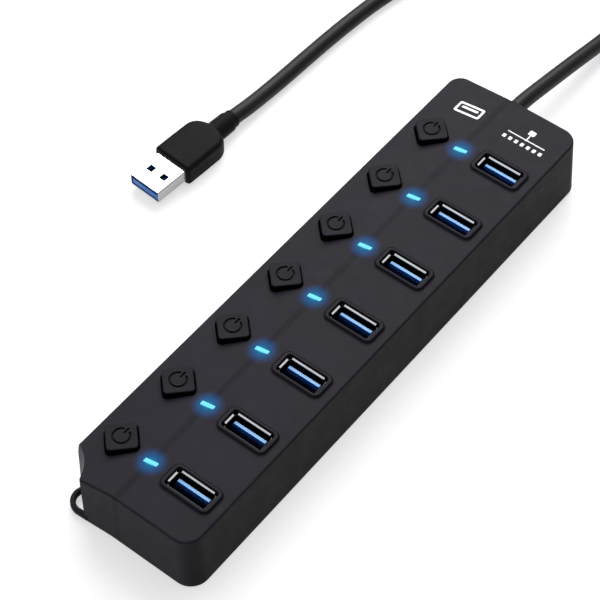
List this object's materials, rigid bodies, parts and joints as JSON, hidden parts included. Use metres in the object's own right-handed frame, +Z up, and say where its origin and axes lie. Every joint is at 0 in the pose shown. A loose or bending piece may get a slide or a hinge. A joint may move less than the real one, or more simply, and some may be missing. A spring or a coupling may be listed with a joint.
{
  "type": "usb hub",
  "caption": "Long black data hub with upright rectangular sockets, an indicator window and a raised square push switch beside each, a strap bar at one corner, and a captive lead with a plug.",
  "frame": {"origin": "middle of the hub's footprint, on the surface it stands on", "axes": "+Y along the hub towards the end where the lead leaves, +X across it towards the sockets, +Z up"},
  "size_m": [0.1084, 0.3217, 0.0216],
  "materials": {
    "housing": "fine satin moulded texture",
    "button": "fine satin moulded texture",
    "rubber_foot": "matte",
    "strain_relief": "satin soft plastic",
    "plug_plastic": "satin soft plastic",
    "cord": "satin soft jacket",
    "steel": "bright nickel plate",
    "blue_insulator": "smooth moulded",
    "light_pipe": "clear, lit from below",
    "board": "solder mask",
    "chip": "moulded epoxy",
    "switch_body": "moulded",
    "plunger": "moulded",
    "screw": "zinc plate"
  },
  "bodies": {
    "housing": {"top_cover": "housing", "bottom_cover": "housing", "circuit_board": "board", "hub_chip_1": "chip", "hub_chip_2": "chip", "screw_1": "screw", "screw_2": "screw", "screw_3": "screw", "screw_4": "screw", "foot_front": "rubber_foot", "foot_rear": "rubber_foot", "port_shell_1": "steel", "port_insulator_1": "blue_insulator", "led_light_pipe_1": "light_pipe", "switch_housing_1": "switch_body", "port_shell_2": "steel", "port_insulator_2": "blue_insulator", "led_light_pipe_2": "light_pipe", "switch_housing_2": "switch_body", "port_shell_3": "steel", "port_insulator_3": "blue_insulator", "led_light_pipe_3": "light_pipe", "switch_housing_3": "switch_body", "port_shell_4": "steel", "port_insulator_4": "blue_insulator", "led_light_pipe_4": "light_pipe", "switch_housing_4": "switch_body", "port_shell_5": "steel", "port_insulator_5": "blue_insulator", "led_light_pipe_5": "light_pipe", "switch_housing_5": "switch_body", "port_shell_6": "steel", "port_insulator_6": "blue_insulator", "led_light_pipe_6": "light_pipe", "switch_housing_6": "switch_body", "port_shell_7": "steel", "port_insulator_7": "blue_insulator", "led_light_pipe_7": "light_pipe", "switch_housing_7": "switch_body", "cable_gland": "strain_relief", "cable_run": "cord", "cable_coil": "cord", "cable_return": "cord", "plug_shell": "steel", "plug_insulator": "blue_insulator", "plug_overmould": "plug_plastic"},
    "button_1": {"button_cap_1": "button", "switch_plunger_1": "plunger"},
    "button_2": {"button_cap_2": "button", "switch_plunger_2": "plunger"},
    "button_3": {"button_cap_3": "button", "switch_plunger_3": "plunger"},
    "button_4": {"button_cap_4": "button", "switch_plunger_4": "plunger"},
    "button_5": {"button_cap_5": "button", "switch_plunger_5": "plunger"},
    "button_6": {"button_cap_6": "button", "switch_plunger_6": "plunger"},
    "button_7": {"button_cap_7": "button", "switch_plunger_7": "plunger"}
  },
  "joints": [
    {"name": "button_1_press", "type": "slide", "parent": "housing", "child": "button_1", "axis": [0, 0, -1], "range_m": [0, 0.0015], "stiffness_N_per_m": 300, "springref_m": -0.001},
    {"name": "button_2_press", "type": "slide", "parent": "housing", "child": "button_2", "axis": [0, 0, -1], "range_m": [0, 0.0015], "stiffness_N_per_m": 300, "springref_m": -0.001},
    {"name": "button_3_press", "type": "slide", "parent": "housing", "child": "button_3", "axis": [0, 0, -1], "range_m": [0, 0.0015], "stiffness_N_per_m": 300, "springref_m": -0.001},
    {"name": "button_4_press", "type": "slide", "parent": "housing", "child": "button_4", "axis": [0, 0, -1], "range_m": [0, 0.0015], "stiffness_N_per_m": 300, "springref_m": -0.001},
    {"name": "button_5_press", "type": "slide", "parent": "housing", "child": "button_5", "axis": [0, 0, -1], "range_m": [0, 0.0015], "stiffness_N_per_m": 300, "springref_m": -0.001},
    {"name": "button_6_press", "type": "slide", "parent": "housing", "child": "button_6", "axis": [0, 0, -1], "range_m": [0, 0.0015], "stiffness_N_per_m": 300, "springref_m": -0.001},
    {"name": "button_7_press", "type": "slide", "parent": "housing", "child": "button_7", "axis": [0, 0, -1], "range_m": [0, 0.0015], "stiffness_N_per_m": 300, "springref_m": -0.001}
  ]
}
